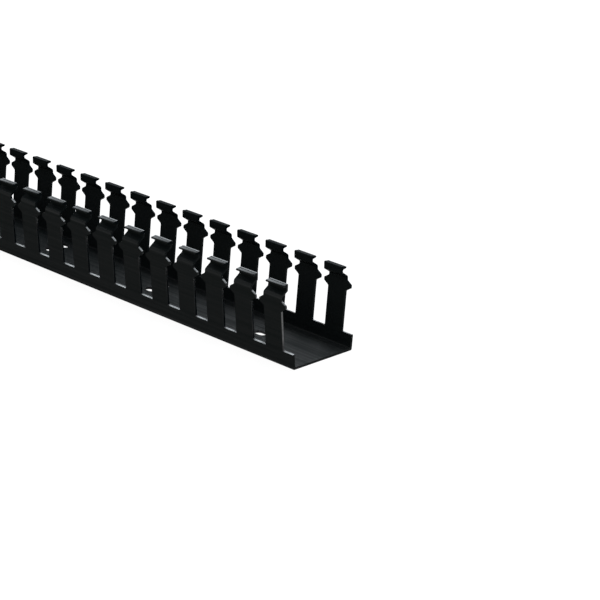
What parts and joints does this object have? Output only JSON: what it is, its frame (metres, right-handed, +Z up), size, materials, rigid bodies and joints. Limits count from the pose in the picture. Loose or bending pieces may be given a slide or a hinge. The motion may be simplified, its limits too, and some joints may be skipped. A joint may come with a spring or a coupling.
{
  "type": "slotted wire duct",
  "caption": "Black open-top wiring channel with punched wall fingers, wire-retaining bumps, cover lips and slotted base holes.",
  "frame": {"origin": "middle of the base's underside, half way along the duct", "axes": "+X along the duct towards the end that the picture shows, +Z up out of the open channel, -Y towards the picture's near wall"},
  "size_m": [1, 0.0442, 0.0402],
  "materials": {
    "duct": "extruded satin"
  },
  "bodies": {
    "root": {"duct": "duct"}
  },
  "joints": []
}
